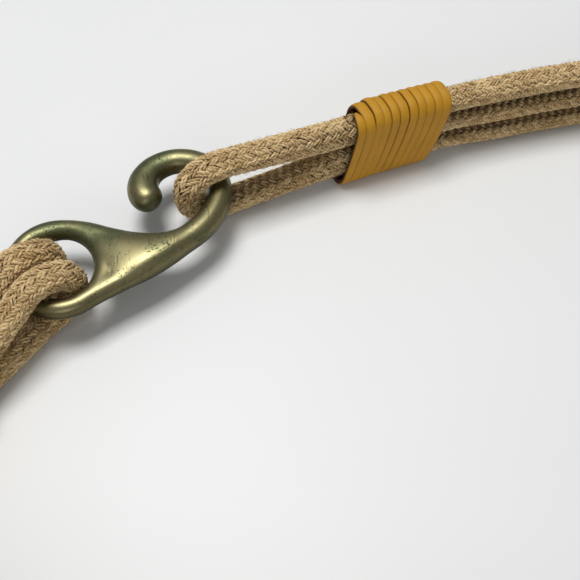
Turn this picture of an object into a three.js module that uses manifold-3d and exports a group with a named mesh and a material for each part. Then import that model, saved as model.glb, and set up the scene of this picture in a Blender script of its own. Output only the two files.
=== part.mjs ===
// A fastened rope belt that stands on its edge as an oval ring, in millimetres, +Z up.
// One braided cord makes the three-strand band, the closing loop and two bights in the hook's eye.
import * as THREE from 'three';
import { mergeVertices } from 'three/addons/utils/BufferGeometryUtils.js';
import Module from 'manifold-3d';

const wasm = await Module();
wasm.setup();

// Driving dimensions
const ropeDiameter = 7.8;
const strandHeight = 7.3; // a strand in the band, pressed by those above it
const gap = 0.3; // clearance between pieces and strands that touch
const ovalLength = 380; // the band's centreline, from end to end
const ovalWidth = 172;
const eyePlace = -148; // the eye's centre, along the band from the middle of its clasp side
const hookReach = 47; // from the eye's centre to the bow's crown, along the hook
const hookTube = 6.4; // the bow's round stock
const eyeTube = 4.8; // the eye ring's stock
const eyeRound = 2.2; // play of the two cords in the eye, across it
const eyeSide = -0.8; // the two cords lie this far off the eye's middle, inward
const eyeLong = 5.4; // play of the two cords in the eye, along the hook
const bowWidth = 8.9; // the cord flattened over the bow
const eyeWidth = 8.2; // a cord flattened over the eye's bar
const bightHeight = 6.6; // and its height on either
const eyeSlack = 4; // play between the eye's bar and a cord's bight
const bowSlack = 3; // play between the bow and the loop's bight
const bightSwell = 1.4; // a slack cord is this much thicker at the crown of its bight
const loopOut = 2.8; // the loop's bight lies this far outside the band's centreline
const eyeInset = 4.2; // the band behind the eye lies this far inside the oval
const laceThickness = 1.25;
const laceWidth = 2.7; // one turn of the wrap, along the band
const laceGroove = 0.45; // depth of the scallop between two turns
const loopTurns = 11;
const eyeTurns = 11;
const loopReach = 34.5; // from the bow's crown to the loop's wrap
const eyeReach = 34; // from the eye's centre to the wrap behind it
const packed = 0.86; // share of a cord's diameter that is left under a wrap
const easing = 16; // length in which the strands settle beside a wrap
const foldLength = 62; // length in which the three-high band becomes two by two at the eye
const endTuck = 7; // a cut end lies this far inside its wrap
const runStep = 16; // length of one facet of the cord along the open band
const fineStep = 7; // and where its section or route changes

// Sizes that follow from them
const strandPitch = strandHeight + gap;
const sidePitch = ropeDiameter + gap;
const bend = (hookTube + bightHeight) / 2 + gap;
const hookHeight = bend + bightHeight / 2 + (ropeDiameter - bightHeight);
const eyeBend = (eyeTube + bightHeight) / 2 + 2 * gap;
const packedHeight = packed * ropeDiameter;
const packedPitch = packedHeight + gap;
const eyeHoleAcross = 2 * eyeWidth + 4 * gap + eyeRound;
const eyeHoleAlong = bightHeight + 2 * gap + eyeSlack + eyeLong;
const eyeHalfAlong = (eyeHoleAlong + eyeTube) / 2; // the ring's centreline
const eyeHalfAcross = (eyeHoleAcross + eyeTube) / 2;

// The band's line: an oval in plan, measured clockwise from the middle of its clasp side
const quarter = Math.PI / 2;
const oval = new THREE.EllipseCurve(0, 0, ovalLength / 2, ovalWidth / 2, quarter, quarter - 4 * quarter, true);
oval.arcLengthDivisions = 1600;
const girth = oval.getLength();

function share(along) {
  return ((along / girth) % 1 + 1) % 1;
}

function headingAt(along) {
  const tangent = oval.getTangentAt(share(along));
  return new THREE.Vector3(tangent.x, tangent.y, 0).normalize();
}

function outwardAt(along) {
  const heading = headingAt(along);
  return new THREE.Vector3(-heading.y, heading.x, 0);
}

function place(along, out, up) {
  const point = oval.getPointAt(share(along));
  return new THREE.Vector3(point.x, point.y, up).addScaledVector(outwardAt(along), out);
}

// Closed skins through rings of points. A capped skin has flat ends; a looped one joins up with itself.
function loft(rings, looped) {
  const count = rings[0].length;
  const positions = rings.flat().flatMap((point) => [point.x, point.y, point.z]);
  const faces = [];
  const bands = looped ? rings.length : rings.length - 1;
  for (let row = 0; row < bands; row += 1) {
    const here = row * count;
    const next = ((row + 1) % rings.length) * count;
    for (let i = 0; i < count; i += 1) {
      const j = (i + 1) % count;
      faces.push(here + i, next + j, next + i, here + i, here + j, next + j);
    }
  }
  if (!looped) {
    const last = (rings.length - 1) * count;
    for (let i = 1; i < count - 1; i += 1) {
      faces.push(0, i + 1, i, last, last + i, last + i + 1);
    }
  }
  const geometry = new THREE.BufferGeometry();
  geometry.setAttribute('position', new THREE.Float32BufferAttribute(positions, 3));
  geometry.setIndex(faces);
  return geometry;
}

function solidFrom(geometry) {
  const merged = mergeVertices(geometry);
  const mesh = new wasm.Mesh({
    numProp: 3,
    vertProperties: new Float32Array(merged.attributes.position.array),
    triVerts: new Uint32Array(merged.index.array),
  });
  return new wasm.Manifold(mesh);
}

function geometryFrom(solid) {
  const mesh = solid.getMesh();
  const geometry = new THREE.BufferGeometry();
  geometry.setAttribute('position', new THREE.Float32BufferAttribute(mesh.vertProperties, mesh.numProp));
  geometry.setIndex(Array.from(mesh.triVerts));
  return geometry;
}

function swollen(share, square) {
  return Math.sign(share) * Math.abs(share) ** square;
}

// A round section of 10 or 14 sides, with flats above and below and a corner on either side.
// A square below 1 fills its corners.
function roundSection(centre, side, top, width, height, sides, square = 1) {
  const points = [];
  const reach = 1 / swollen(Math.cos(Math.PI / sides), square);
  for (let i = 0; i < sides; i += 1) {
    const turn = (2 * Math.PI * i) / sides;
    points.push(
      centre
        .clone()
        .addScaledVector(side, (width * swollen(Math.cos(turn), square)) / 2)
        .addScaledVector(top, (reach * height * swollen(Math.sin(turn), square)) / 2),
    );
  }
  return points;
}

// Rows of a table between which a value eases
function eased(rows, key, along) {
  const next = rows.findIndex((row) => row.along >= along);
  if (next === 0) {
    return rows[0][key];
  }
  if (next < 0) {
    return rows[rows.length - 1][key];
  }
  const from = rows[next - 1];
  const to = rows[next];
  const blend = THREE.MathUtils.smoothstep(along, from.along, to.along);
  return from[key] + (to[key] - from[key]) * blend;
}

const upward = new THREE.Vector3(0, 0, 1);

// Hook clasp, in its own frame: x from the eye to the bow, y outward, z up
const hookHeading = headingAt(eyePlace + hookReach / 2);
const hookOut = outwardAt(eyePlace + hookReach / 2);
const hookMiddle = place(eyePlace + hookReach / 2, 0, hookHeight);
const hookOrigin = hookMiddle.clone().addScaledVector(hookHeading, -hookReach / 2);

// along and out are shares of hookReach, wide and thick are shares of hookTube
const bowStock = [
  { along: 0.0, out: -0.257, wide: 0.75, thick: 0.75 },
  { along: 0.19, out: -0.25, wide: 0.78, thick: 0.8 },
  { along: 0.36, out: -0.235, wide: 0.86, thick: 0.9 },
  { along: 0.48, out: -0.218, wide: 0.94, thick: 0.98 },
  { along: 0.6, out: -0.202, wide: 1, thick: 1 },
  { along: 0.75, out: -0.18, wide: 1, thick: 1 },
  { along: 0.87, out: -0.12, wide: 1, thick: 1 },
  { along: 0.965, out: -0.02, wide: 1, thick: 1 },
  { along: 1, out: 0.11, wide: 1, thick: 1 },
  { along: 0.965, out: 0.235, wide: 1, thick: 1 },
  { along: 0.87, out: 0.32, wide: 1.02, thick: 1 },
  { along: 0.74, out: 0.335, wide: 1.1, thick: 1.04 },
  { along: 0.64, out: 0.28, wide: 1.22, thick: 1.1 },
  { along: 0.6, out: 0.2, wide: 1.3, thick: 1.14 },
  { along: 0.607, out: 0.15, wide: 1.24, thick: 1.08 },
  { along: 0.612, out: 0.11, wide: 0.85, thick: 0.75 },
];
const upperStock = [
  { along: -0.02, out: 0.257, wide: 0.74, thick: 0.75 },
  { along: 0.11, out: 0.225, wide: 0.76, thick: 0.78 },
  { along: 0.215, out: 0.14, wide: 0.8, thick: 0.82 },
  { along: 0.305, out: 0.025, wide: 0.84, thick: 0.88 },
  { along: 0.4, out: -0.08, wide: 0.88, thick: 0.92 },
  { along: 0.51, out: -0.16, wide: 0.88, thick: 0.94 },
  { along: 0.62, out: -0.195, wide: 0.8, thick: 0.85 },
];
// The web between the two stocks, cut across the hook; low and high are shares of hookReach
const web = [
  { along: 0.21, low: -0.265, high: 0.15, thick: 0.78 },
  { along: 0.27, low: -0.27, high: 0.09, thick: 0.86 },
  { along: 0.37, low: -0.265, high: -0.02, thick: 0.92 },
  { along: 0.47, low: -0.25, high: -0.11, thick: 0.96 },
];
const webSquare = 0.62; // the web is a crowned plate
const bowSteps = 36;
const upperSteps = 14;
const hookSides = 14;
const eyeSteps = 32;
const eyeSides = 10;

function hookPoint(along, out, up) {
  return hookOrigin
    .clone()
    .addScaledVector(hookHeading, along)
    .addScaledVector(hookOut, out)
    .add(new THREE.Vector3(0, 0, up));
}

function stockGeometry(rows, steps) {
  const spine = new THREE.CatmullRomCurve3(
    rows.map((row) => new THREE.Vector3(row.along * hookReach, row.out * hookReach, 0)),
  );
  const sizes = new THREE.CatmullRomCurve3(
    rows.map((row) => new THREE.Vector3(row.wide * hookTube, row.thick * hookTube, 0)),
  );
  const rings = [];
  for (let step = 0; step <= steps; step += 1) {
    const point = spine.getPoint(step / steps);
    const tangent = spine.getTangent(step / steps);
    const size = sizes.getPoint(step / steps);
    const side = hookHeading.clone().multiplyScalar(-tangent.y).addScaledVector(hookOut, tangent.x);
    rings.push(roundSection(hookPoint(point.x, point.y, 0), side, upward, size.x, size.y, hookSides));
  }
  return loft(rings, false);
}

function webGeometry() {
  const rings = web.map((row) => {
    const centre = hookPoint(row.along * hookReach, ((row.low + row.high) / 2) * hookReach, 0);
    const width = (row.high - row.low) * hookReach;
    return roundSection(centre, hookOut, upward, width, row.thick * hookTube, hookSides, webSquare);
  });
  return loft(rings, false);
}

function eyeGeometry() {
  const rings = [];
  for (let step = 0; step < eyeSteps; step += 1) {
    const turn = (2 * Math.PI * step) / eyeSteps;
    const centre = hookPoint(eyeHalfAlong * Math.cos(turn), eyeHalfAcross * Math.sin(turn), 0);
    const normal = new THREE.Vector2(eyeHalfAcross * Math.cos(turn), eyeHalfAlong * Math.sin(turn)).normalize();
    const side = hookHeading.clone().multiplyScalar(-normal.x).addScaledVector(hookOut, -normal.y);
    rings.push(roundSection(centre, side, upward, eyeTube, eyeTube, eyeSides));
  }
  return loft(rings, true);
}

function hookGeometry() {
  const pieces = [
    stockGeometry(bowStock, bowSteps),
    stockGeometry(upperStock, upperSteps),
    webGeometry(),
    eyeGeometry(),
  ];
  return geometryFrom(pieces.map(solidFrom).reduce((sum, solid) => sum.add(solid)));
}

// Places along the band
const spread = eyeWidth / 2 + gap; // each cord in the eye lies this far from the middle of the two
const bowBar = eyePlace + hookReach; // the bow's crown that the loop bends round
const eyeOut = hookOrigin.clone().sub(place(eyePlace, 0, hookHeight)).dot(outwardAt(eyePlace));
const loopWrap = { start: bowBar + loopReach, turns: loopTurns };
loopWrap.end = loopWrap.start + loopTurns * laceWidth;
const eyeWrap = { end: eyePlace - eyeReach, turns: eyeTurns };
eyeWrap.start = eyeWrap.end - eyeTurns * laceWidth;

// A strand's place in the band: its level, 0 to 2, free or packed under a wrap
function free(along, level) {
  return {
    along,
    out: 0,
    up: strandHeight / 2 + level * strandPitch,
    wide: ropeDiameter,
    tall: strandHeight,
  };
}

function under(along, level, out) {
  return {
    along,
    out,
    up: laceThickness + gap + packedHeight / 2 + level * packedPitch,
    wide: out === 0 ? ropeDiameter : packedHeight,
    tall: packedHeight,
  };
}

const ropeSides = 10;
const folds = 4; // steps in which the three-high band folds to two by two

// The loop's two legs fill the wrap's mouth, until the third strand's cut end
function mouth(along, level) {
  const height = (3 * packedPitch - 3 * gap) / 2;
  return {
    along,
    out: 0,
    up: laceThickness + gap + height / 2 + level * (height + 2 * gap),
    wide: packedHeight,
    tall: height,
  };
}

function strandRows(level, side) {
  const near = loopWrap.start + endTuck - 2 * gap;
  const far = loopWrap.end + easing / 4;
  const eye = girth + eyeWrap.start - easing / 4;
  const rows = [
    under(near, level, 0),
    under(far, level, 0),
    free(far + easing, level),
    free(eye - easing - foldLength, level),
  ];
  for (let fold = 1; fold <= folds; fold += 1) {
    const swing = (quarter * fold) / folds;
    const row = free(eye - easing - foldLength * (1 - fold / folds), level);
    row.out = (side * sidePitch * Math.sin(swing)) / 2 - (eyeInset * fold) / (folds + 1);
    if (level === 2) {
      row.up = strandHeight / 2 + strandPitch * (1 + Math.cos(swing)) + gap * Math.sin(2 * swing);
    }
    rows.push(row);
  }
  const tailOut = (side * packedPitch) / 2 - eyeInset;
  rows.push(under(eye, Math.min(level, 1), tailOut));
  rows.push(under(girth + eyeWrap.end + easing / 4, Math.min(level, 1), tailOut));
  if (level < 2) {
    rows.unshift(mouth(loopWrap.start - easing / 4, level));
  }
  return rows;
}

function stationAt(rows, along) {
  return {
    along,
    out: eased(rows, 'out', along),
    up: eased(rows, 'up', along),
    wide: eased(rows, 'wide', along),
    tall: eased(rows, 'tall', along),
  };
}

function run(rows, from, to) {
  const places = new Set([from, to]);
  const low = Math.min(from, to);
  const high = Math.max(from, to);
  rows.forEach((row, i) => {
    const next = rows[Math.min(i + 1, rows.length - 1)];
    const span = next.along - row.along;
    const stops = Math.max(1, Math.ceil(span / (span < 3 * easing ? fineStep : runStep)));
    for (let part = 0; part < stops; part += 1) {
      const along = row.along + (span * part) / stops;
      if (along > low && along < high) {
        places.add(along);
      }
    }
  });
  const order = [...places].sort((a, b) => (from < to ? a - b : b - a));
  return order.map((along) => stationAt(rows, along));
}

const bightSteps = 8;
const underHook = hookHeight - bightHeight / 2; // a bight's lower leg lies on the table, this far below the hook
const boxy = 0.8; // 1 bends a bight as an ellipse, less keeps it off the bar's flanks

// A half turn of the rope round a bar, towards +1 or -1 along the band
function bight(bar, towards, out, wide, over, under, slack, downward) {
  const stations = [];
  for (let step = 0; step <= bightSteps; step += 1) {
    const turn = (downward ? 1 : -1) * (quarter - (2 * quarter * step) / bightSteps);
    const rise = Math.sign(turn) * Math.abs(Math.sin(turn)) ** boxy;
    stations.push({
      along: bar + towards * (over + slack) * Math.max(0, Math.cos(turn)) ** boxy,
      out,
      up: hookHeight + (rise > 0 ? over : under) * rise,
      wide,
      tall: bightHeight + bightSwell * Math.cos(turn) ** 2,
    });
  }
  return stations;
}

// A cord's half turn round the eye's bar, on one side of the other cord
function eyeBight(side) {
  const off = eyeSide + side * spread;
  const bar = eyePlace - eyeHalfAlong * Math.sqrt(1 - (off / eyeHalfAcross) ** 2);
  return bight(girth + bar, 1, eyeOut + off, eyeWidth, eyeBend, underHook, eyeSlack, true);
}

// One rope: cut end, top strand, eye, bottom strand, closing loop, middle strand, eye, tail
function ropeStations() {
  const nearSide = -1;
  const farSide = 1;
  const eye = girth + eyeWrap.end + easing / 4;
  const loop = loopWrap.start - easing / 4;
  return [
    ...run(strandRows(2, nearSide), loopWrap.start + endTuck, eye),
    ...eyeBight(nearSide),
    ...run(strandRows(0, nearSide), eye, loop),
    ...bight(bowBar, -1, loopOut, bowWidth, bend, underHook, bowSlack, false),
    ...run(strandRows(1, farSide), loop, eye),
    ...eyeBight(farSide),
    ...run(strandRows(0, farSide), eye, girth + eyeWrap.start + endTuck),
  ];
}

function ropeGeometry() {
  const stations = ropeStations();
  const points = stations.map((row) => place(row.along, row.out, row.up));
  const rings = stations.map((row, i) => {
    const before = points[Math.max(i - 1, 0)];
    const after = points[Math.min(i + 1, points.length - 1)];
    const tangent = after.clone().sub(before).normalize();
    const side = outwardAt(row.along);
    side.addScaledVector(tangent, -side.dot(tangent)).normalize();
    const top = tangent.clone().cross(side);
    return roundSection(points[i], side, top, row.wide, row.tall, ropeSides);
  });
  return loft(rings, false);
}

// A wound lace: a sleeve with one ridge for each turn, round the packed strands
const laceCorner = 3;
const cornerSteps = 5;
const ridgeSteps = 4;
const boreSteps = 6;
// How far the first and last turns lean over, for each unit of height
const laceLean = { first: 0.24, last: 0.3 };

function sleeveRing(along, lean, inset, middle, halfWidth, halfHeight, corner) {
  const points = [];
  for (let step = 0; step < 4 * cornerSteps; step += 1) {
    const part = (step % cornerSteps) / (cornerSteps - 1);
    const turn = quarter * (Math.floor(step / cornerSteps) + part);
    const cornerTurn = quarter * (Math.floor(step / cornerSteps) + 0.5);
    const out = Math.sign(Math.cos(cornerTurn)) * (halfWidth - corner) + corner * Math.cos(turn);
    const up = Math.sign(Math.sin(cornerTurn)) * (halfHeight - corner) + corner * Math.sin(turn);
    points.push(place(along + lean * up, out - inset, middle + up));
  }
  return points;
}

function wrapGeometry(wrap, columns, levels, inset) {
  const strandWidth = columns === 1 ? ropeDiameter : packedHeight;
  const boreHalfWidth = ((columns - 1) * packedPitch + strandWidth) / 2 + gap;
  const boreHalfHeight = (levels * packedPitch + gap) / 2;
  const middle = laceThickness + boreHalfHeight;
  const leanAt = (part) => laceLean.first + (laceLean.last - laceLean.first) * part;
  const rings = [];
  for (let step = 0; step <= wrap.turns * ridgeSteps; step += 1) {
    const part = step / (wrap.turns * ridgeSteps);
    const ridge = laceThickness - laceGroove * Math.cos((Math.PI * step) / ridgeSteps) ** 2;
    const along = wrap.start + part * (wrap.end - wrap.start);
    const halfWidth = boreHalfWidth + ridge;
    const halfHeight = boreHalfHeight + ridge;
    rings.push(sleeveRing(along, leanAt(part), inset, middle, halfWidth, halfHeight, laceCorner + ridge));
  }
  for (let step = boreSteps; step >= 0; step -= 1) {
    const part = step / boreSteps;
    const along = wrap.start + part * (wrap.end - wrap.start);
    rings.push(sleeveRing(along, leanAt(part), inset, middle, boreHalfWidth, boreHalfHeight, laceCorner));
  }
  return loft(rings, true);
}

function piece(name, geometry, color, roughness, metalness) {
  const flat = geometry.toNonIndexed();
  flat.computeVertexNormals();
  const mesh = new THREE.Mesh(flat, new THREE.MeshStandardMaterial({ color, roughness, metalness }));
  mesh.name = name;
  return mesh;
}

const belt = new THREE.Group();
belt.add(piece('rope', ropeGeometry(), 0xb89b6c, 0.9, 0));
belt.add(piece('hook_clasp', hookGeometry(), 0x8f8654, 0.35, 1));
belt.add(piece('lace_wrap_loop', wrapGeometry(loopWrap, 1, 3, 0), 0xc28b33, 0.6, 0));
belt.add(piece('lace_wrap_eye', wrapGeometry(eyeWrap, 2, 2, eyeInset), 0xc28b33, 0.6, 0));

// The origin is the middle of the box that the belt stands in
const middle = new THREE.Box3().setFromObject(belt).getCenter(new THREE.Vector3());
belt.position.set(-middle.x, -middle.y, 0);

export default belt;
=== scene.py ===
import math
from collections import namedtuple

import bpy
import numpy as np
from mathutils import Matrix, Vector


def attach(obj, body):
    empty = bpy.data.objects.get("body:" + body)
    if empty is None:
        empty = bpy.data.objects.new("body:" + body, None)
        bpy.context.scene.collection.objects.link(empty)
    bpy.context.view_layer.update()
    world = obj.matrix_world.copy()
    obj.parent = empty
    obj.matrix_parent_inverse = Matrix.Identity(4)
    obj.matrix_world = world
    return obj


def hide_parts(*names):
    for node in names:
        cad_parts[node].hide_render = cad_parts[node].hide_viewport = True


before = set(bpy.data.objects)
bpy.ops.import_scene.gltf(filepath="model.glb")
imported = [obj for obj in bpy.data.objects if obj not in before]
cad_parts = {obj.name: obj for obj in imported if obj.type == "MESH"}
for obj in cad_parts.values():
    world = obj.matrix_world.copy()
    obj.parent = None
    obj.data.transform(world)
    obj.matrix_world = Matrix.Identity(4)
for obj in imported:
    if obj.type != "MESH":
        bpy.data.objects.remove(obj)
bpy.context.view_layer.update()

TURN = 2 * math.pi

# Sizes of the belt, in metres. Along is measured from the middle of the clasp side.
ROPE = 0.0078  # the free cord, across
STRAND_HEIGHT = 0.0073  # the free cord, pressed by the strands above it
GAP = 0.0003  # room between neighbours
OVAL_LENGTH = 0.380
OVAL_WIDTH = 0.172
OVAL_CENTRE = (0.00011, 0.0)
EYE_PLACE = -0.148  # the eye's centre, along
HOOK_REACH = 0.047  # from the eye's centre to the middle of the bow's bar
HOOK_TUBE = 0.0064
EYE_TUBE = 0.0048
BOW_WIDTH = 0.0089  # the cord's width where it bends round the bow
EYE_WIDTH = 0.0082  # the cord's width where it bends round the eye
BIGHT_HEIGHT = 0.0066  # the cord's height where it lies on metal
BIGHT_SWELL = 0.0014  # how much the cord swells at the far end of a bight
EYE_SLACK = 0.004
BOW_SLACK = 0.003
EYE_ROUND = 0.0022  # room beside the two cords in the eye
EYE_SIDE = -0.0008  # how far the two cords lie off the eye's middle
EYE_LONG = 0.0054  # room in front of the two cords in the eye
EYE_INSET = 0.0042  # how far the cords at the eye lie inside the band's line
LOOP_OUT = 0.0028  # how far the closing loop lies outside the band's line
LACE_THICKNESS = 0.00125
LACE_WIDTH = 0.0027
LACE_TURNS = 11
LOOP_REACH = 0.0345  # from the bow's bar to the loop's wrap
EYE_REACH = 0.034  # from the eye's centre to the eye's wrap
PACKED = 0.86  # the cord's height under a wrap, as a share of its free width
EASING = 0.016  # length in which a strand goes from free to packed
FOLD_LENGTH = 0.062  # length in which three stacked strands become two pairs
FOLD_STAGES = (0.25, 0.5, 0.75, 1)
FOLD_INSET = 0.8  # share of the eye's inset that the fold takes
END_TUCK = 0.007  # how far the last cut end goes into the eye's wrap
MOUTH_TUCK = 0.004  # how far the loop's legs stay thick inside the wrap
TOP_TUCK = 0.013  # how far inside the loop's wrap the top strand starts
BOXY = 0.8  # power that squares a bight's half turn
STATION_STEP = 0.0015
BIGHT_STATIONS = 25

STRAND_PITCH = STRAND_HEIGHT + GAP
SIDE_PITCH = ROPE + GAP
BEND = (HOOK_TUBE + BIGHT_HEIGHT) / 2 + GAP
HOOK_HEIGHT = BEND + BIGHT_HEIGHT / 2 + (ROPE - BIGHT_HEIGHT)
EYE_BEND = (EYE_TUBE + BIGHT_HEIGHT) / 2 + 2 * GAP
PACKED_HEIGHT = PACKED * ROPE
PACKED_PITCH = PACKED_HEIGHT + GAP
EYE_HALF_ALONG = (BIGHT_HEIGHT + 2 * GAP + EYE_SLACK + EYE_LONG + EYE_TUBE) / 2
EYE_HALF_ACROSS = (2 * EYE_WIDTH + 4 * GAP + EYE_ROUND + EYE_TUBE) / 2
SPREAD = EYE_WIDTH / 2 + GAP
BOW_BAR = EYE_PLACE + HOOK_REACH
WRAP_LENGTH = LACE_TURNS * LACE_WIDTH
LOOP_WRAP = (BOW_BAR + LOOP_REACH, BOW_BAR + LOOP_REACH + WRAP_LENGTH)
EYE_WRAP = (EYE_PLACE - EYE_REACH - WRAP_LENGTH, EYE_PLACE - EYE_REACH)

# The camera, in metres and degrees
CAMERA_PLACE = (OVAL_CENTRE[0] - 0.1115, -0.0506, 0.152)
CAMERA_TILT = 33
CAMERA_HEADING = -13.2
CAMERA_VIEW = 45

# The band's line is an oval in plan, measured clockwise from the middle of its clasp side
OVAL_TURNS = np.linspace(0, TURN, 6001)
OVAL_X = OVAL_LENGTH / 2 * np.sin(OVAL_TURNS)
OVAL_Y = OVAL_WIDTH / 2 * np.cos(OVAL_TURNS)
OVAL_RUN = np.concatenate([[0], np.cumsum(np.hypot(np.diff(OVAL_X), np.diff(OVAL_Y)))])
GIRTH = OVAL_RUN[-1]


def outward(along):
    turn = np.interp(np.mod(along, GIRTH), OVAL_RUN, OVAL_TURNS)
    heading_x = OVAL_LENGTH * np.cos(turn)
    heading_y = -OVAL_WIDTH * np.sin(turn)
    size = np.hypot(heading_x, heading_y)
    return np.stack([-heading_y / size, heading_x / size, 0 * size], -1)


def place(along, out, up):
    """Points beside the band's line: out from it, and up from what it stands on."""
    turn = np.interp(np.mod(along, GIRTH), OVAL_RUN, OVAL_TURNS)
    x = OVAL_LENGTH / 2 * np.sin(turn) + OVAL_CENTRE[0]
    y = OVAL_WIDTH / 2 * np.cos(turn) + OVAL_CENTRE[1]
    line = np.stack([x, y, 0 * x + up], -1)
    return line + outward(along) * np.expand_dims(0 * x + out, -1)


def unit(vectors):
    return vectors / np.linalg.norm(vectors, axis=-1, keepdims=True)


def crossed(tangent, vectors):
    """The part of some vectors that stands across a tangent, at unit length."""
    return unit(vectors - tangent * np.sum(vectors * tangent, -1, keepdims=True))


def smoothstep(low, high, value):
    share = np.clip((value - low) / (high - low), 0, 1)
    return share * share * (3 - 2 * share)


# The cord's route. A row holds along, out, up, wide and tall.
def free(along, level, out=0, up=None):
    """A row of a strand that stands free in the band."""
    height = STRAND_HEIGHT / 2 + level * STRAND_PITCH
    return (along, out, height if up is None else up, ROPE, STRAND_HEIGHT)


def under(along, level, out):
    """A row of a strand that lies packed under a wrap."""
    up = LACE_THICKNESS + GAP + PACKED_HEIGHT / 2 + level * PACKED_PITCH
    return (along, out, up, ROPE if out == 0 else PACKED_HEIGHT, PACKED_HEIGHT)


def mouth(along, level):
    """A row of a loop's leg where it enters the wrap, two legs high instead of three strands."""
    height = (3 * PACKED_PITCH - 3 * GAP) / 2
    up = LACE_THICKNESS + GAP + height / 2 + level * (height + 2 * GAP)
    return (along, 0, up, PACKED_HEIGHT, height)


def strand_rows(level, side):
    """One strand of the band, from the loop's wrap clockwise to the hook's eye."""
    eye = GIRTH + EYE_WRAP[0] - EASING / 4
    rows = [
        under(LOOP_WRAP[0] + TOP_TUCK - 2 * GAP, level, 0),
        under(LOOP_WRAP[1] + EASING / 4, level, 0),
        free(LOOP_WRAP[1] + EASING * 5 / 4, level),
        free(eye - EASING - FOLD_LENGTH, level),
    ]
    if level < 2:
        rows[:0] = [mouth(LOOP_WRAP[0] - EASING / 4, level), mouth(LOOP_WRAP[0] + MOUTH_TUCK, level)]
    for fold in FOLD_STAGES:
        swing = TURN / 4 * fold
        along = eye - EASING - FOLD_LENGTH * (1 - fold)
        top = STRAND_HEIGHT / 2 + STRAND_PITCH * (1 + math.cos(swing)) + GAP * math.sin(2 * swing)
        out = side * SIDE_PITCH * math.sin(swing) / 2 - EYE_INSET * fold * FOLD_INSET
        rows.append(free(along, level, out, top if level == 2 else None))
    tail = (min(level, 1), side * PACKED_PITCH / 2 - EYE_INSET)
    rows.append(under(eye, *tail))
    rows.append(under(GIRTH + EYE_WRAP[1] + EASING / 4, *tail))
    return np.array(rows)


def run(rows, start, end):
    """Stations of a strand between two places, eased from row to row."""
    count = int(abs(end - start) / STATION_STEP) + 2
    along = np.linspace(start, end, count)
    after = np.clip(np.searchsorted(rows[:, 0], along), 1, len(rows) - 1)
    share = smoothstep(rows[after - 1, 0], rows[after, 0], along)[:, None]
    stations = rows[after - 1] * (1 - share) + rows[after] * share
    stations[:, 0] = along
    return stations


def bight(bar, towards, out, wide, over, slack, downward):
    """A half turn of the cord round a bar, with its lower leg on the table."""
    turn = np.linspace(1, -1, BIGHT_STATIONS) * TURN / 4 * (1 if downward else -1)
    rise = np.sign(turn) * np.abs(np.sin(turn)) ** BOXY
    along = bar + towards * (over + slack) * np.clip(np.cos(turn), 0, 1) ** BOXY
    up = HOOK_HEIGHT + np.where(rise > 0, over, HOOK_HEIGHT - BIGHT_HEIGHT / 2) * rise
    same = np.ones_like(turn)
    tall = BIGHT_HEIGHT + BIGHT_SWELL * np.cos(turn) ** 2
    return np.stack([along, same * out, up, same * wide, tall], -1)


def hook_frame():
    """The eye's centre, the hook's heading and its outward direction."""
    middle = EYE_PLACE + HOOK_REACH / 2
    out = outward(middle)
    heading = np.array([out[1], -out[0], 0])
    return place(middle, 0, HOOK_HEIGHT) - heading * HOOK_REACH / 2, heading, out


def eye_bight(side):
    """A cord's half turn round the eye's bar, on one side of the other cord."""
    off = EYE_SIDE + side * SPREAD
    bar = GIRTH + EYE_PLACE - EYE_HALF_ALONG * math.sqrt(1 - (off / EYE_HALF_ACROSS) ** 2)
    eye_out = np.dot(hook_frame()[0] - place(EYE_PLACE, 0, HOOK_HEIGHT), outward(EYE_PLACE))
    return bight(bar, 1, eye_out + off, EYE_WIDTH, EYE_BEND, EYE_SLACK, True)


def cord_legs():
    """The one cord: cut end, top strand, eye, bottom strand, closing loop, middle strand, eye, tail."""
    eye = GIRTH + EYE_WRAP[1] + EASING / 4
    loop = LOOP_WRAP[0] - EASING / 4
    return [
        run(strand_rows(2, -1), LOOP_WRAP[0] + TOP_TUCK, eye),
        eye_bight(-1),
        run(strand_rows(0, -1), eye, loop),
        bight(BOW_BAR, -1, LOOP_OUT, BOW_WIDTH, BEND, BOW_SLACK, False),
        run(strand_rows(1, 1), loop, eye),
        eye_bight(1),
        run(strand_rows(0, 1), eye, GIRTH + EYE_WRAP[0] + END_TUCK),
    ]


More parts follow.
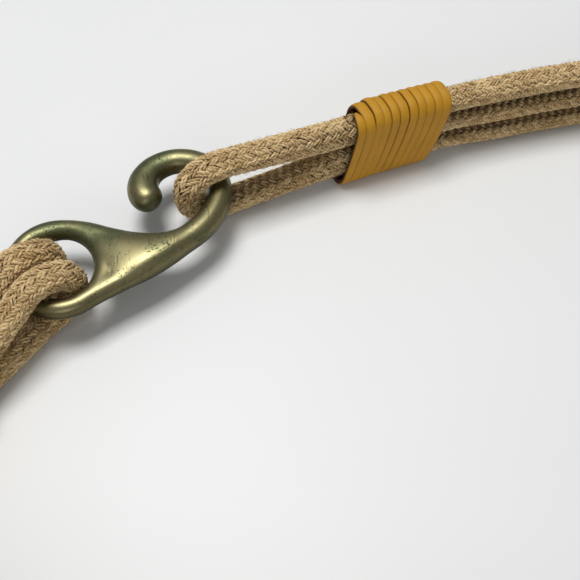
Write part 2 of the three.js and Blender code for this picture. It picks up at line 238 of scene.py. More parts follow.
class Line:
    """The cord's smooth centreline, read by its length from the first cut end."""

    step = 0.00075  # length between two stations
    ease = 0.0016  # length over which the route's corners are rounded
    kernel_reach = 4  # where the rounding ends, in easing lengths

    def __init__(self, stations):
        points = place(stations[:, 0], stations[:, 1], stations[:, 2])
        steps = np.linalg.norm(np.diff(points, axis=0), axis=1)
        run_length = np.concatenate([[0], np.cumsum(steps)])
        columns = np.hstack([points, outward(stations[:, 0]), stations[:, 3:5]])
        even = np.arange(0, run_length[-1], self.step)
        columns = np.stack([np.interp(even, run_length, column) for column in columns.T], -1)
        reach = int(self.kernel_reach * self.ease / self.step)
        kernel = np.exp(-0.5 * (np.arange(-reach, reach + 1) * self.step / self.ease) ** 2)
        kernel /= kernel.sum()
        before = 2 * columns[0] - columns[reach:0:-1]
        after = 2 * columns[-1] - columns[-2:-reach - 2:-1]
        padded = np.vstack([before, columns, after])
        columns = np.stack([np.convolve(column, kernel, "valid") for column in padded.T], -1)
        steps = np.linalg.norm(np.diff(columns[:, :3], axis=0), axis=1)
        self.run = np.concatenate([[0], np.cumsum(steps)])
        self.length = self.run[-1]
        tangent = unit(np.gradient(columns[:, :3], axis=0))
        side = crossed(tangent, columns[:, 3:6])
        self.columns = np.hstack([columns[:, :3], side, np.cross(tangent, side), columns[:, 6:]])
        self.station_run = run_length

    def at(self, length):
        read = np.stack([np.interp(length, self.run, column) for column in self.columns.T], -1)
        return read[:, :3], read[:, 3:6], read[:, 6:9], read[:, 9:10], read[:, 10:11]

    def surface(self, length, turn, depth):
        """Points under the cord's surface and the directions out of it."""
        centre, side, top, wide, tall = self.at(length)
        half_wide = wide / 2 - depth[:, None]
        half_tall = tall / 2 - depth[:, None]
        cosine = np.cos(turn)[:, None]
        sine = np.sin(turn)[:, None]
        points = centre + side * half_wide * cosine + top * half_tall * sine
        return points, unit(side * half_tall * cosine + top * half_wide * sine)


class Skin:
    """Tubes of rings gathered into one mesh, with a UV map in millimetres along them.

    Each point carries how far it stands out of its groove and clear of its neighbours' shade, which the
    finishes turn into painted shade where it is low, and a tint for how it took the dye.
    """

    def __init__(self):
        self.points = []
        self.faces = []
        self.uvs = []
        self.shade_crown = []
        self.tint = []
        self.count = 0

    def tube(self, rings, shade_crown, tint):
        rows, sides = rings.shape[:2]
        length = np.linalg.norm(np.diff(rings.mean(1), axis=0), axis=1)
        length = np.concatenate([[0], np.cumsum(length)]) * 1000
        row, side = np.meshgrid(np.arange(rows - 1), np.arange(sides), indexing="ij")
        after = (side + 1) % sides
        near = [(row, side, side), (row + 1, side, side)]
        corners = near + [(row + 1, after, side + 1), (row, after, side + 1)]
        quads = np.stack([self.count + r * sides + s for r, s, _ in corners], -1).reshape(-1, 4)
        uv = np.stack([np.stack([length[r], v / sides], -1) for r, _, v in corners], 2)
        first = list(range(self.count, self.count + sides))
        last = [first[0] + (rows - 1) * sides + s for s in reversed(range(sides))]
        self.faces += quads.tolist() + [first, last]
        self.uvs += [uv.reshape(-1, 2), np.zeros((2 * sides, 2))]
        self.points.append(rings.reshape(-1, 3))
        self.shade_crown.append(np.broadcast_to(shade_crown, (rows, sides)).ravel())
        self.tint.append(np.broadcast_to(tint, (rows, sides)).ravel())
        self.count += rows * sides

    def piece(self, name, finish):
        mesh = bpy.data.meshes.new(name)
        mesh.from_pydata(np.concatenate(self.points), [], self.faces)
        mesh.uv_layers.new(name="length_mm").data.foreach_set("uv", np.concatenate(self.uvs).ravel())
        for value in ("shade_crown", "tint"):
            layer = mesh.attributes.new(value, "FLOAT", "POINT")
            layer.data.foreach_set("value", np.concatenate(getattr(self, value)).astype(np.float32))
        mesh.polygons.foreach_set("use_smooth", [True] * len(mesh.polygons))
        mesh.materials.append(finish)
        mesh.update()
        made = bpy.data.objects.new(name, mesh)
        bpy.context.scene.collection.objects.link(made)
        return made


# The braid: carriers wind both ways round the cord, over two and under two of the other hand.
# A yarn counts its crossings with the other hand, and makes one stitch in each cycle of them.
BRAID_LEAD = 0.030  # length in which a carrier winds once round the cord
CARRIERS = 12  # of each hand
YARNS = 2  # in each carrier
YARN_WIDTH = 0.00086
YARN_THICKNESS = 0.00078
CARRIER_FILL = 0.97  # share of a carrier's room that its yarns fill
CROSSINGS = 2 * CARRIERS / BRAID_LEAD  # in a metre of cord
CYCLE = 4
STITCH_SHIFT = 1.5  # what puts a stitch's middle in the middle of a cycle
STITCH_EDGE = (0.7, 1.3)  # crossings from a stitch's middle between which the yarn dives
STITCH_DIVE = 0.95  # how deep it dives, in yarn thicknesses
STITCH_BOW = 0.3  # how far a stitch bows down towards its ends, in yarn thicknesses
STITCH_SPREAD = 0.16  # how uneven the stitches' widths are
STITCH_WIDTHS = (0.7, 1.3)  # the least and the most that they may be
DIVED_WIDTH = 0.8
STITCH_WIDER = 0.22  # what a stitch adds to the width of a dived yarn
STITCH_DYE = 0.7  # share of the tint that changes from stitch to stitch, the rest from yarn to yarn
DEPTH_SPREAD = 0.00012
TURN_SPREAD = 0.036

# Where a yarn has rings, in crossings from the start of a cycle, and how many sides they have
NEAR = {"phases": (-0.8, -0.4, 0.0, 0.5, 1.0, 1.4, 1.8), "sides": 4}
FAR = {"phases": (-0.75, 0.0, 1.0, 1.75), "sides": 3}
SEEN_BAND = 0.095  # length of the three strands beyond the loop's wrap that is worked as finely as the loop

CORE_DEPTH = 1.85  # under the cord's surface, in yarn thicknesses
CORE_STEP = 0.003
CORE_SIDES = 10
CORD_SEED = 11

# The painted shade where strands lie on each other. A span says how much of it the strands below it and
# above it cast.
ALONE = (0, 0)
LOOP_SHADE = 0.7  # painted shade that the upper leg of the closing loop casts on the lower one
CONTACT_SHADE = 0.8  # how dark the painted shade makes the cord where a neighbour lies on it
CONTACT_SHADE_ABOVE = (0.35, 0.9)  # how far up the surface faces where the painted shade starts and is full
CONTACT_SHADE_BELOW = (0.6, 0.95)
CONTACT_SHADE_LEAST = 0.3  # share of the painted shade that stays between its notches
NOTCH_LEAN = 3
EYE_FAN = EYE_REACH + WRAP_LENGTH + EASING + FOLD_LENGTH  # the strands lie on each other beyond this

Span = namedtuple("Span", "name first last detail touching")


def stitches(span, start, hand, chance):
    """Lengths along the cord where a yarn has rings, with the width and the dye of its stitches."""
    ends = sorted([start + hand * CROSSINGS * span.first, start + hand * CROSSINGS * span.last])
    cycles = CYCLE * np.arange(math.floor(ends[0] / CYCLE) - 1, math.ceil(ends[1] / CYCLE) + 1)
    each = len(span.detail["phases"])
    plump = np.repeat(chance.normal(1, STITCH_SPREAD, cycles.size).clip(*STITCH_WIDTHS), each)
    dyed = np.repeat(chance.uniform(0, 1, cycles.size), each)
    crossing = np.add.outer(cycles, span.detail["phases"]).ravel()
    length = (crossing - start) / (hand * CROSSINGS)
    order = np.argsort(length)
    order = order[(length[order] > span.first) & (length[order] < span.last)]
    length = np.concatenate([[span.first], length[order], [span.last]])
    return length, np.pad(plump[order], 1, mode="edge"), np.pad(dyed[order], 1, mode="edge")


def painted_contact_shade(touching, line, length, turn, facing_up):
    """How much painted shade the strands below and above lay on the cord, in notches that slant with the
    braid.
    """
    below, above = touching
    shade_amount = above * smoothstep(*CONTACT_SHADE_ABOVE, facing_up) + below * smoothstep(*CONTACT_SHADE_BELOW, -facing_up)
    notch = 0.5 + 0.5 * np.cos(TURN * CARRIERS * length / BRAID_LEAD + NOTCH_LEAN * turn)
    from_eye = np.minimum(np.abs(length - line.eyes[0]), np.abs(length - line.eyes[1]))
    stacked = smoothstep(EYE_FAN - FOLD_LENGTH, EYE_FAN, from_eye)
    return shade_amount * (CONTACT_SHADE_LEAST + (1 - CONTACT_SHADE_LEAST) * notch) * stacked


def add_yarn(skin, line, span, hand, carrier, member, chance):
    """One yarn along a span. Carriers of one hand lie two crossings apart."""
    shift = (member - (YARNS - 1) / 2) * CARRIER_FILL / YARNS
    start = 2 * carrier + shift - (0 if hand > 0 else CYCLE / 2)
    length, plump, dyed = stitches(span, start, hand, chance)
    crossing = start + hand * CROSSINGS * length
    from_crown = np.abs((crossing + STITCH_SHIFT) % CYCLE - CYCLE / 2)
    rise = 1 - smoothstep(*STITCH_EDGE, from_crown)
    depth = YARN_THICKNESS * (0.5 + STITCH_DIVE * (1 - rise) + STITCH_BOW * np.minimum(from_crown, 1) ** 2)
    depth = depth + np.abs(chance.normal(0, DEPTH_SPREAD, length.size))
    turn = hand * TURN * length / BRAID_LEAD + (carrier + shift) * TURN / CARRIERS
    turn = turn + chance.normal(0, TURN_SPREAD, length.size)
    points, normal = line.surface(length, turn, depth)
    shade_amount = painted_contact_shade(span.touching, line, length, turn, normal[:, 2])
    tangent = unit(np.gradient(points, axis=0))
    normal = crossed(tangent, normal)
    across = np.cross(tangent, normal)
    sides = span.detail["sides"]
    angles = TURN / 4 + TURN * np.arange(sides) / sides
    wide = (YARN_WIDTH * (DIVED_WIDTH + STITCH_WIDER * rise) * plump)[:, None, None] / 2
    rings = (
        points[:, None]
        + across[:, None] * wide * np.cos(angles)[:, None]
        + normal[:, None] * YARN_THICKNESS / 2 * np.sin(angles)[:, None]
    )
    tint = chance.uniform(0, 1) * (1 - STITCH_DYE) + STITCH_DYE * dyed
    # The yarn is painted darker where it dives under others and where a neighbour's painted shade falls on
    # it
    skin.tube(rings, (rise * (1 - CONTACT_SHADE * shade_amount))[:, None], tint[:, None])


def add_core(skin, line, span):
    """The filling between the yarns, painted in the cord's shade tone."""
    length = np.linspace(span.first, span.last, int((span.last - span.first) / CORE_STEP) + 2)
    angles = -TURN * np.arange(CORE_SIDES) / CORE_SIDES
    each_length = np.repeat(length, CORE_SIDES)
    each_turn = np.tile(angles, length.size)
    points, _ = line.surface(each_length, each_turn, np.full(each_length.size, CORE_DEPTH * YARN_THICKNESS))
    # a value of nought here paints the core wholly in the painted shade tone
    skin.tube(points.reshape(length.size, CORE_SIDES, 3), 0.0, 0.5)


def braided_cord(line, span, finish, seed):
    chance = np.random.default_rng(seed)
    skin = Skin()
    add_core(skin, line, span)
    for hand in (1, -1):
        for carrier in range(CARRIERS):
            for member in range(YARNS):
                add_yarn(skin, line, span, hand, carrier, member, chance)
    return skin.piece(span.name, finish)


# Loose cotton fibres that stand off the cord
FIBRES_PER_METRE = 11500
FIBRE_SEED = 47
FIBRE_ROOT = 0.0001  # how deep a fibre starts
FIBRE_AHEAD = 0.001  # length along the cord that sets a fibre's heading
FIBRE_TURN = 0.35  # how much the headings stray round the cord
FIBRE_REACH = (0.0005, 0.0018)
FIBRE_STAND = (0.12, 0.65)  # how far fibres stand off, as a share of their reach
FIBRE_ARCH = 1.6
FIBRE_RADII = (0.000028, 0.000026, 0.000011)  # at its root, its middle and its tip
FIBRE_CLEAR = 0.00002  # least height over the table
FIBRE_CORNERS = np.array([[1, 0], [-0.5, 0.87], [-0.5, -0.87]])


def cord_fuzz(name, line, spans, finish):
    chance = np.random.default_rng(FIBRE_SEED)
    skin = Skin()
    for span in spans:
        count = int((span.last - span.first) * FIBRES_PER_METRE)
        length = chance.uniform(span.first, span.last, count)
        turn = chance.uniform(0, TURN, count)
        depth = np.full(count, FIBRE_ROOT)
        root, normal = line.surface(length, turn, depth)
        ahead, _ = line.surface(length + FIBRE_AHEAD, turn + chance.normal(0, FIBRE_TURN, count), depth)
        lean = unit(ahead - root) * chance.choice([-1, 1], count)[:, None]
        reach = chance.uniform(*FIBRE_REACH, count)[:, None]
        stand = chance.uniform(*FIBRE_STAND, count)[:, None]
        places = [
            root + lean * reach * share + normal * reach * stand * share * (FIBRE_ARCH - share)
            for share in (0, 0.5, 1)
        ]
        across = np.cross(lean, normal)
        for i in range(count):
            rings = np.array([
                centres[i] + (FIBRE_CORNERS[:, :1] * across[i] + FIBRE_CORNERS[:, 1:] * normal[i]) * radius
                for centres, radius in zip(places, FIBRE_RADII)
            ])
            rings[:, :, 2] += max(FIBRE_CLEAR - rings[:, :, 2].min(), 0)
            skin.tube(rings, 1.0, 0.9)
    return skin.piece(name, finish)


def make_cords(finish):
    """The one cord in its stretches, each a mesh of its own, and the fibres on the stretches that show."""
    legs = cord_legs()
    line = Line(np.vstack(legs))
    ends = np.cumsum([len(leg) for leg in legs])
    eye_cut = EYE_REACH + WRAP_LENGTH / 2
    loop_cut = LOOP_REACH + WRAP_LENGTH / 2
    scale = line.length / line.station_run[-1]
    bights = [line.station_run[ends[i] + len(legs[i + 1]) // 2] * scale for i in (0, 2, 4)]
    inner, loop, outer = bights
    line.eyes = (inner, outer)
    seen = loop_cut + SEEN_BAND
    spans = [
        Span("top_strand_seen", 0, SEEN_BAND, NEAR, (1, 0)),
        Span("top_strand", SEEN_BAND, inner - eye_cut, FAR, (1, 0)),
        Span("eye_bight_inner", inner - eye_cut, inner + eye_cut, NEAR, ALONE),
        Span("bottom_strand", inner + eye_cut, loop - seen, FAR, (0, 1)),
        Span("bottom_strand_seen", loop - seen, loop - loop_cut, NEAR, (0, 1)),
        Span("closing_loop_lower", loop - loop_cut, loop - ROPE, NEAR, (0, LOOP_SHADE)),
        Span("closing_loop_upper", loop - ROPE, loop + loop_cut, NEAR, ALONE),
        Span("middle_strand_seen", loop + loop_cut, loop + seen, NEAR, (1, 1)),
        Span("middle_strand", loop + seen, outer - eye_cut, FAR, (1, 1)),
        Span("eye_bight_outer", outer - eye_cut, line.length, NEAR, ALONE),
    ]
    cords = [braided_cord(line, span, finish, CORD_SEED + i) for i, span in enumerate(spans)]
    cords.append(cord_fuzz("cord_fuzz", line, [span for span in spans if span.detail is NEAR], finish))
    return cords


# The wraps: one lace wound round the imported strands. Its turns count from the middle of its top.
LACE_CORNER = 0.003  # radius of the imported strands' corners
LACE_SIDES = 14
CORNER_STEPS = 7
LEAN_FIRST = 0.24  # how much the first turn leans along the belt as it rises
LEAN_LAST = 0.3
LACE_CURVE = 0.55  # how much less the lace leans at the top of the wrap than at its foot
LAST_TURN = 0.8  # the lace ends this far into its last turn, on the outer face
FIRST_DROP = 0.0005  # how much lower the first turn lies at its top
FIRST_RISE = (0.9, 1.9)  # turns between which the lace comes up to its full height
LACE_LUMP = 0.0003  # how much higher the second turn lies
LUMP_TURN = (2, 0.5)
FIRST_FULLER = 0.3  # how much wider the end of the first turn is
FIRST_TURN = (0.9, 0.26)
LAST_FULLER = 0.12
LAST_END = (LACE_TURNS - 0.6, 0.4)
SWAY = 0.00016  # how far the turns stray along the belt
KNOCK = 0.0001  # how far they stray up and down
KNOCK_MOST = 0.00012
WIDTH_SPREAD = 0.035
LACE_SEED = 71
TAPER_RINGS = 3  # rings in which a cut end rounds off
LACE_SPREAD = 1.03  # the lace's width in the wrap, as a share of its own, so that its turns meet
LACE_PADDING = 1.12  # its thickness, as a share of its own
EDGE_ROUND = 0.9  # powers that square the lace's section
FACE_ROUND = 0.95


def bump(value, middle, spread):
    return np.exp(-((value - middle) / spread) ** 2)


def stray(turns, every, middle, spread, chance):
    """A value that wanders along the lace, drawn anew after each such part of a turn."""
    knots = np.arange(0, LACE_TURNS + every, every)
    return np.interp(turns, knots, chance.normal(middle, spread, knots.size))


def lace_loop(half_width, half_height, corner):
    """One turn of a wrap, from the middle of its top down its inner face: out, up and share of the way."""
    points = []
    for quadrant, (sign_out, sign_up) in enumerate([(-1, 1), (-1, -1), (1, -1), (1, 1)]):
        middle = np.array([sign_out * (half_width - corner), sign_up * (half_height - corner)])
        for step in np.linspace(0, 1, CORNER_STEPS):
            turn = TURN / 4 * (1 + quadrant + step)
            points.append(middle + corner * np.array([math.cos(turn), math.sin(turn)]))
        if quadrant in (0, 2):
            points += [points[-1] * [1, 0.5], points[-1] * [1, 0], points[-1] * [1, -0.5]]
    points = np.array([[0, half_height]] + points)
    closed = np.vstack([points, points[:1]])
    run_length = np.concatenate([[0], np.cumsum(np.linalg.norm(np.diff(closed, axis=0), axis=1))])
    return points, run_length[:-1] / run_length[-1]


def lace_way(half_width, half_height):
    """The whole lace: its turns, and its places out and up from the wrap's middle."""
    half = LACE_THICKNESS / 2
    loop, share = lace_loop(half_width + half, half_height + half, LACE_CORNER + half)
    turns = np.concatenate([share + turn for turn in range(LACE_TURNS)])
    kept = turns <= LACE_TURNS - 1 + LAST_TURN
    out, up = np.tile(loop, (LACE_TURNS, 1))[kept].T
    return turns[kept], out, up


def lace_rings(points, across, normal, fuller):
    """The lace's sections, and how far each of their corners stands out, which the finish paints as shade
    in the grooves between turns.
    """
    angles = TURN * np.arange(LACE_SIDES) / LACE_SIDES
    boxed_across = np.sign(np.cos(angles)) * np.abs(np.cos(angles)) ** EDGE_ROUND
    boxed_up = np.sign(np.sin(angles)) * np.abs(np.sin(angles)) ** FACE_ROUND
    ends = np.minimum(np.arange(len(points)), np.arange(len(points))[::-1])
    taper = np.sqrt(np.clip((ends + 0.3) / TAPER_RINGS, 0, 1))[:, None, None]
    half_wide = LACE_WIDTH * LACE_SPREAD / 2 * fuller[:, None, None]
    half_thick = LACE_THICKNESS * LACE_PADDING / 2
    rings = (
        points[:, None]
        + across[:, None] * boxed_across[:, None] * taper * half_wide
        + normal[:, None] * boxed_up[:, None] * taper * half_thick
    )
    return rings, np.clip(boxed_up, 0, 1) * (1 - np.abs(boxed_across) ** 5)


def make_wrap(name, wrap, columns, levels, inset, finish):
    strand = ROPE if columns == 1 else PACKED_HEIGHT
    half_width = ((columns - 1) * PACKED_PITCH + strand) / 2 + GAP
    half_height = (levels * PACKED_PITCH + GAP) / 2
    middle = LACE_THICKNESS + half_height
    turns, side, rise = lace_way(half_width, half_height)
    part = turns / LACE_TURNS
    chance = np.random.default_rng(LACE_SEED + columns)
    lean = LEAN_FIRST + (LEAN_LAST - LEAN_FIRST) * part
    curved = rise - LACE_CURVE * (rise**2 / half_height - half_height / 3) / 2
    along = wrap[0] + LACE_WIDTH / 2 + (wrap[1] - wrap[0] - LACE_WIDTH) * part + lean * curved
    along = along + stray(turns, 1, 0, SWAY, chance)
    points = place(along, side - inset, middle + rise)
    knock = np.minimum(stray(turns, 0.5, 0, KNOCK, chance), KNOCK_MOST)
    drop = FIRST_DROP * (1 - smoothstep(*FIRST_RISE, turns)) - LACE_LUMP * bump(turns, *LUMP_TURN)
    points[:, 2] += smoothstep(0, half_height, rise) * (knock - drop)
    tangent = unit(np.gradient(points, axis=0))
    out = outward(along)
    heading = np.stack([out[:, 1], -out[:, 0], 0 * out[:, 0]], -1)
    normal = np.cross(crossed(tangent, heading), tangent)
    centre = place(along, 0 * along - inset, middle + 0 * along)
    normal = normal * np.sign(np.sum(normal * (points - centre), -1, keepdims=True))
    fuller = stray(turns, 0.25, 1, WIDTH_SPREAD, chance)
    fuller = fuller + LAST_FULLER * bump(turns, *LAST_END) + FIRST_FULLER * bump(turns, *FIRST_TURN)
    rings, shade_crown = lace_rings(points, np.cross(tangent, normal), normal, fuller)
    skin = Skin()
    skin.tube(rings, shade_crown[None], part[:, None])
    return skin.piece(name, finish)


def only(obj):
    bpy.ops.object.select_all(action="DESELECT")
    obj.select_set(True)
    bpy.context.view_layer.objects.active = obj


# The clasp's stocks: along and out in hook reaches, wide and thick in hook tubes
BOW_STOCK = [
    (0.0, -0.257, 0.75, 0.75),
    (0.19, -0.25, 0.83, 0.8),
    (0.36, -0.246, 0.95, 0.92),
    (0.48, -0.232, 1.03, 1),
    (0.6, -0.212, 1.06, 1),
    (0.75, -0.184, 1.05, 1),
    (0.87, -0.122, 1.02, 1),
    (0.965, -0.02, 1, 1),
    (1, 0.11, 1, 1),
    (0.965, 0.235, 1, 1),
    (0.87, 0.32, 1.02, 1),
    (0.74, 0.335, 1.1, 1.04),
    (0.64, 0.28, 1.22, 1.1),
    (0.6, 0.2, 1.3, 1.14),
    (0.606, 0.15, 1.24, 1.08),
    (0.611, 0.115, 0.96, 0.86),
    (0.613, 0.1, 0.56, 0.5),
    (0.614, 0.095, 0.16, 0.14),
]
UPPER_STOCK = [
    (-0.02, 0.257, 0.74, 0.75),
    (0.11, 0.225, 0.76, 0.78),
    (0.215, 0.14, 0.8, 0.82),
    (0.305, 0.025, 0.84, 0.88),
    (0.4, -0.08, 0.88, 0.92),
    (0.51, -0.16, 0.88, 0.94),
    (0.62, -0.195, 0.8, 0.85),
]
STOCK_STEPS = 8  # sections from row to row
STOCK_SIDES = 32
EYE_STEPS = 98
EYE_OVERLAP = 1.02  # turns, so that the eye's ring closes on itself
# The body between eye and bow: along, low and high sideways in hook reaches, half height in metres
BODY_ROWS = [
    (0.08, -0.262, -0.225, 0.0015),
    (0.13, -0.268, -0.19, 0.002),
    (0.165, -0.272, -0.15, 0.0023),
    (0.186, -0.276, -0.08, 0.0023),
    (0.2, -0.28, 0.1, 0.0022),
    (0.217, -0.288, 0.12, 0.0026),
    (0.25, -0.3, 0.125, 0.003),
    (0.3, -0.302, 0.08, 0.0034),
    (0.36, -0.302, 0.01, 0.0037),
    (0.43, -0.297, -0.055, 0.0038),
    (0.5, -0.288, -0.105, 0.0037),
    (0.57, -0.275, -0.13, 0.0035),
    (0.64, -0.258, -0.145, 0.0032),
    (0.7, -0.24, -0.15, 0.0026),
]
BODY_SKEW = 0.2  # how far the body's fullness lies towards its outer rim
BODY_BROAD = 0.7  # powers that square the body's section
BODY_THICK = 0.75
CAST_VOXEL = 0.00035
CAST_SWELL = 0.0002  # what the smoothing takes away again
CAST_SMOOTHING = 70


def spline(rows):
    """A smooth curve through some rows, whose first two columns are places."""
    rows = np.vstack([2 * rows[0] - rows[1], rows, 2 * rows[-1] - rows[-2]])
    knots = np.concatenate([[0], np.cumsum(np.linalg.norm(np.diff(rows[:, :2], axis=0), axis=1) ** 0.5)])
    share = np.linspace(0, 1, STOCK_STEPS, endpoint=False)[:, None]
    pieces = []
    for i in range(1, len(rows) - 2):
        before, first, last, after = rows[i - 1 : i + 3]
        gaps = np.diff(knots[i - 1 : i + 3])
        slope = (last - first) / gaps[1]
        leave = slope + (first - before) / gaps[0] - (last - before) / (gaps[0] + gaps[1])
        arrive = slope + (after - last) / gaps[2] - (after - first) / (gaps[1] + gaps[2])
        pieces.append(
            (2 * share**3 - 3 * share**2 + 1) * first
            + (share**3 - 2 * share**2 + share) * leave * gaps[1]
            + (3 * share**2 - 2 * share**3) * last
            + (share**3 - share**2) * arrive * gaps[1]
        )
    return np.vstack(pieces + [rows[-2:-1]])


def hook_points(along, sideways, up):
    """Points from the eye's centre: along the hook, outward and up."""
    origin, heading, out = hook_frame()
    along, sideways, up = [np.asarray(value)[..., None] for value in (along, sideways, up)]
    return origin + heading * along + out * sideways + np.array([0, 0, 1]) * up


def stock_rings(path):
    """Oval rings square to a path, whose columns are along, sideways, wide and thick."""
    tangent = unit(np.gradient(path[:, :2], axis=0))
    angles = TURN * np.arange(STOCK_SIDES) / STOCK_SIDES
    reach = path[:, 2:3] / 2 * np.cos(angles)
    along = path[:, :1] - tangent[:, 1:] * reach
    sideways = path[:, 1:2] + tangent[:, :1] * reach
    return hook_points(along, sideways, path[:, 3:] / 2 * np.sin(angles))


def eye_rings():
    turn = np.linspace(0, TURN * EYE_OVERLAP, EYE_STEPS)
    same = np.full_like(turn, EYE_TUBE)
    path = np.stack([EYE_HALF_ALONG * np.cos(turn), EYE_HALF_ACROSS * np.sin(turn), same, same], -1)
    return stock_rings(path)


def body_rings():
    """The swollen metal between the eye and the shank, fullest towards its outer rim."""
    angles = TURN * np.arange(STOCK_SIDES) / STOCK_SIDES
    broad = np.sign(np.cos(angles)) * np.abs(np.cos(angles)) ** BODY_BROAD
    broad = broad - BODY_SKEW * (1 - broad**2)
    thick = np.sign(np.sin(angles)) * np.abs(np.sin(angles)) ** BODY_THICK
    along, low, high, half = np.array(BODY_ROWS).T[:, :, None]
    sideways = (low + high + (high - low) * broad) / 2 * HOOK_REACH
    return hook_points(along * HOOK_REACH + 0 * broad, sideways, half * thick)


def make_hook(finish):
    """The clasp as one smooth casting, melted together from its stocks, its eye and its body."""
    scales = [HOOK_REACH, HOOK_REACH, HOOK_TUBE, HOOK_TUBE]
    skin = Skin()
    for rows in (BOW_STOCK, UPPER_STOCK):
        skin.tube(stock_rings(spline(np.array(rows) * scales)), 1.0, 0.5)
    skin.tube(eye_rings(), 1.0, 0.5)
    skin.tube(body_rings(), 1.0, 0.5)
    hook = skin.piece("cast_hook", finish)
    only(hook)
    remesh = hook.modifiers.new("remesh", "REMESH")
    remesh.mode = "VOXEL"
    remesh.voxel_size = CAST_VOXEL
    swell = hook.modifiers.new("swell", "DISPLACE")
    swell.mid_level = 0
    swell.strength = CAST_SWELL
    soften = hook.modifiers.new("soften", "SMOOTH")
    soften.factor = 0.5
    soften.iterations = CAST_SMOOTHING
    for modifier in ("remesh", "swell", "soften"):
        bpy.ops.object.modifier_apply(modifier=modifier)
    bpy.ops.object.shade_smooth()
    return hook


# The finishes
PLY_TWIST = 5.2  # radians in each millimetre of yarn
PLIES = 2
SCRATCH_HEADING = -0.35
PATINA_SLOPE = 6  # how fast the patina grows towards the outward side
SHADE_FADE_HEIGHT = 0.0035  # height over the hook's middle over which the painted shade on its lower half fades out


class Socket:
    """A shader socket with arithmetic: an expression adds its Math nodes."""

    def __init__(self, finish, output):
        self.finish = finish
        self.output = output

    def math(self, operation, *values):
        return self.finish.node("ShaderNodeMath", {"operation": operation}, dict(enumerate(values)))

    def __add__(self, other):
        return self.math("ADD", self, other)

    def __sub__(self, other):
        return self.math("SUBTRACT", self, other)

    def __rsub__(self, other):
        return self.math("SUBTRACT", other, self)

    def __mul__(self, other):
        return self.math("MULTIPLY", self, other)

    def sine(self):
        return self.math("SINE", self)

    __radd__ = __add__
    __rmul__ = __mul__


class Finish:
    """A material built up from nodes round its Principled shader."""

    def __init__(self, name, **fixed):
        self.material = bpy.data.materials.new(name)
        self.material.use_nodes = True
        self.tree = self.material.node_tree
        self.shader = self.tree.nodes["Principled BSDF"]
        for socket, value in fixed.items():
            self.shader.inputs[socket.replace("_", " ")].default_value = value

    def set(self, socket, value):
        if isinstance(value, Socket):
            self.tree.links.new(value.output, socket)
        else:
            socket.default_value = value

    def node(self, kind, settings, values, output=0):
        made = self.tree.nodes.new(kind)
        for setting, value in settings.items():
            setattr(made, setting, value)
        for socket, value in values.items():
            self.set(made.inputs[socket], value)
        return Socket(self, made.outputs[output])

    def mix(self, factor, first, second):
        """A mix of two colours, which are the node's inputs 6 and 7 and its output 2."""
        return self.node("ShaderNodeMix", {"data_type": "RGBA"}, {0: factor, 6: first, 7: second}, 2)

    def between(self, value, low, high):
        settings = {"interpolation_type": "SMOOTHSTEP"}
        return self.node("ShaderNodeMapRange", settings, {0: value, 1: low, 2: high})

    def value(self, name):
        return self.node("ShaderNodeAttribute", {"attribute_name": name}, {}, "Fac")

    def place(self, stretch=(1, 1, 1), turn=(0, 0, 0)):
        spot = self.node("ShaderNodeTexCoord", {}, {}, "Object")
        return self.node("ShaderNodeMapping", {}, {"Vector": spot, "Rotation": turn, "Scale": stretch})

    def noise(self, vector, scale, detail=3, roughness=0.5):
        values = {"Vector": vector, "Scale": scale, "Detail": detail, "Roughness": roughness}
        return self.node("ShaderNodeTexNoise", {}, values)

    def axis(self, vector, letter):
        return self.node("ShaderNodeSeparateXYZ", {}, {"Vector": vector}, letter)

    def uv(self, letter):
        return self.axis(self.node("ShaderNodeUVMap", {"uv_map": "length_mm"}, {}), letter)

    def paint(self, colour, roughness=None, metallic=None, height=None, depth=0.0001):
        """Links what changes over the surface, with the depth of the relief in metres."""
        inputs = self.shader.inputs
        for socket, value in (("Base Color", colour), ("Roughness", roughness), ("Metallic", metallic)):
            if value is not None:
                self.set(inputs[socket], value)
        if height is not None:
            relief = self.node("ShaderNodeBump", {}, {"Height": height, "Distance": depth, "Strength": 1.0})
            self.set(inputs["Normal"], relief)
        return self.material


def tone(red, green, blue):
    """A colour as it shows on a screen, 0 to 255, made linear."""
    shown = np.array([red, green, blue]) / 255
    linear = np.where(shown <= 0.04045, shown / 12.92, ((shown + 0.055) / 1.055) ** 2.4)
    return (*linear.tolist(), 1.0)


def cotton():
    """Twisted cotton yarns: plies across each yarn, painted shade between them and where strands lie on
    each other, fuzz and uneven dye.
    """
    sheen = {"Sheen_Weight": 0.1, "Sheen_Roughness": 0.5}
    finish = Finish("cotton_yarn", Roughness=0.9, Specular_IOR_Level=0.2, **sheen)
    shade_crown = finish.value("shade_crown")
    tint = finish.value("tint")
    twist = finish.uv("X") * PLY_TWIST + finish.uv("Y") * TURN * PLIES
    plies = twist.sine() * 0.5 + 0.5
    fibres = finish.noise(finish.place(), 2600, 4, 0.7)
    patches = finish.noise(finish.place(), 90, 2)
    shade_tone = tone(94, 68, 38)
    base = tone(168, 134, 86)
    pale = tone(234, 206, 156)
    # Painted shade: the deep tone where a yarn dives under others, on the core, and where a neighbour lies
    # on the cord
    shade = finish.between(shade_crown, 0.15, 1.0)
    light = finish.between(tint * 0.5 + fibres * 0.5 + patches * 0.35 + plies * 0.3, 0.5, 1.15)
    colour = finish.mix(shade, shade_tone, finish.mix(light, base, pale))
    height = plies * 0.6 + fibres * 0.6
    return finish.paint(colour, height=height, depth=0.00016)


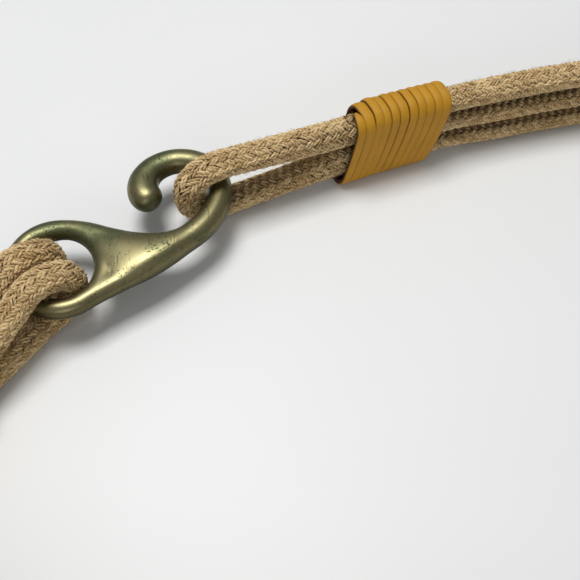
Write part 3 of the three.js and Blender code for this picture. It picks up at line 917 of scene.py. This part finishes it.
def brass():
    """Antique brass: olive patina in clouds, dark pits and fine scratches, with painted shade that darkens
    its lower half.
    """
    finish = Finish("antique_brass", Specular_IOR_Level=0.5)
    clouds = finish.noise(finish.place(), 110, 4, 0.55)
    specks = finish.noise(finish.place(), 1900, 3, 0.6)
    scratches = finish.noise(finish.place((1, 0.12, 1), (0, 0, SCRATCH_HEADING)), 1400, 2)
    origin, heading, out = hook_frame()
    sideways = finish.axis(finish.place(turn=(0, 0, -math.atan2(heading[1], heading[0]))), "Y")
    sideways = sideways - float(np.dot(origin, out))
    height_up = finish.axis(finish.place(), "Z")
    patina = finish.between(clouds + sideways * PATINA_SLOPE, 0.4, 0.66)
    # Painted shade: the lower half of the hook is mixed towards a dark tone, which fades out above its
    # middle
    clear_of_shade = finish.between(height_up + clouds * 0.002, HOOK_HEIGHT, HOOK_HEIGHT + SHADE_FADE_HEIGHT)
    pits = finish.between(specks * 0.7 + clouds * 0.3, 0.57, 0.65)
    lines = finish.between(scratches, 0.62, 0.7)
    rubbed = tone(142, 134, 98)
    olive = tone(106, 110, 78)
    lower_shade_tone = tone(70, 68, 46)
    colour = finish.mix(clear_of_shade, lower_shade_tone, finish.mix(patina, rubbed, olive))
    colour = finish.mix(pits * 0.75, colour, tone(46, 42, 28))
    colour = finish.mix(lines * 0.4, colour, tone(62, 58, 38))
    roughness = patina * 0.06 + pits * 0.2 + specks * 0.08 + 0.35
    height = clouds * 0.6 - pits * 0.35 - lines * 0.12 + specks * 0.1
    return finish.paint(colour, roughness, 1 - pits * 0.3, height, 0.00012)


def leather():
    """Waxed leather lace: ochre, with painted shade in the grooves between turns, and a fine grain."""
    finish = Finish("leather_lace", Specular_IOR_Level=0.35)
    grain = finish.noise(finish.place(), 2400, 3, 0.6)
    patches = finish.noise(finish.place(), 210, 3)
    # Painted shade: a dark brown on the lace's sides and inner face, in the grooves between turns
    edge = finish.between(finish.value("shade_crown"), 0.0, 0.5)
    face = finish.mix(patches, tone(175, 123, 14), tone(199, 145, 28))
    face = finish.mix(finish.between(grain, 0.52, 0.8) * 0.3, face, tone(140, 90, 24))
    colour = finish.mix(edge, tone(74, 44, 12), face)
    height = grain * 0.5 + patches * 0.6
    return finish.paint(colour, patches * 0.15 + 0.5, height=height, depth=0.00015)


def table_top():
    finish = Finish("table_top", Roughness=0.45, Specular_IOR_Level=0.3)
    faint = finish.noise(finish.place(), 18, 2)
    return finish.paint(finish.mix(faint, (0.80, 0.80, 0.79, 1), (0.83, 0.83, 0.82, 1)))


# The stage, in metres and watts
FLOOR_SIZE = 4
ROOM_COLOUR = (0.93, 0.98, 1.0, 1)
ROOM_STRENGTH = 0.27
LIGHT_AIM = (-0.08, 0.06, 0)
LIGHTS = [
    ("ceiling_lamp", (-0.16, 0.25, 0.87), (0.38, 0.38), 6.1),
    ("window_panel", (-0.25, -0.6, 0.35), (0.4, 0.24), 0.7),
]


def soft_light(name, at, size, power):
    bpy.ops.object.light_add(type="AREA", location=at)
    light = bpy.context.object
    light.name = name
    light.rotation_euler = (Vector(LIGHT_AIM) - Vector(at)).to_track_quat("-Z", "Y").to_euler()
    light.data.shape = "RECTANGLE"
    light.data.size, light.data.size_y = size
    light.data.energy = power


def make_stage():
    bpy.ops.object.select_all(action="DESELECT")
    bpy.ops.mesh.primitive_plane_add(size=FLOOR_SIZE)
    floor = bpy.context.object
    floor.name = "table_top"
    floor.data.materials.append(table_top())
    world = bpy.context.scene.world or bpy.data.worlds.new("room")
    bpy.context.scene.world = world
    world.use_nodes = True
    background = world.node_tree.nodes["Background"]
    background.inputs["Color"].default_value = ROOM_COLOUR
    background.inputs["Strength"].default_value = ROOM_STRENGTH
    for light in LIGHTS:
        soft_light(*light)
    bpy.ops.object.camera_add(location=CAMERA_PLACE)
    camera = bpy.context.object
    camera.name = "camera"
    camera.rotation_euler = (math.radians(CAMERA_TILT), 0, math.radians(CAMERA_HEADING))
    camera.data.angle = math.radians(CAMERA_VIEW)
    camera.data.clip_start = 0.005
    camera.data.clip_end = 20
    bpy.context.scene.camera = camera
    bpy.context.scene.view_settings.view_transform = "Standard"


def dress(piece, node):
    """Puts a piece in the place of its solid."""
    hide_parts(node)
    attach(piece, "root")


make_stage()
lace = leather()
for cord_piece in make_cords(cotton()):
    dress(cord_piece, "rope")
dress(make_hook(brass()), "hook_clasp")
dress(make_wrap("loop_wrap", LOOP_WRAP, 1, 3, 0, lace), "lace_wrap_loop")
dress(make_wrap("eye_wrap", EYE_WRAP, 2, 2, EYE_INSET, lace), "lace_wrap_eye")
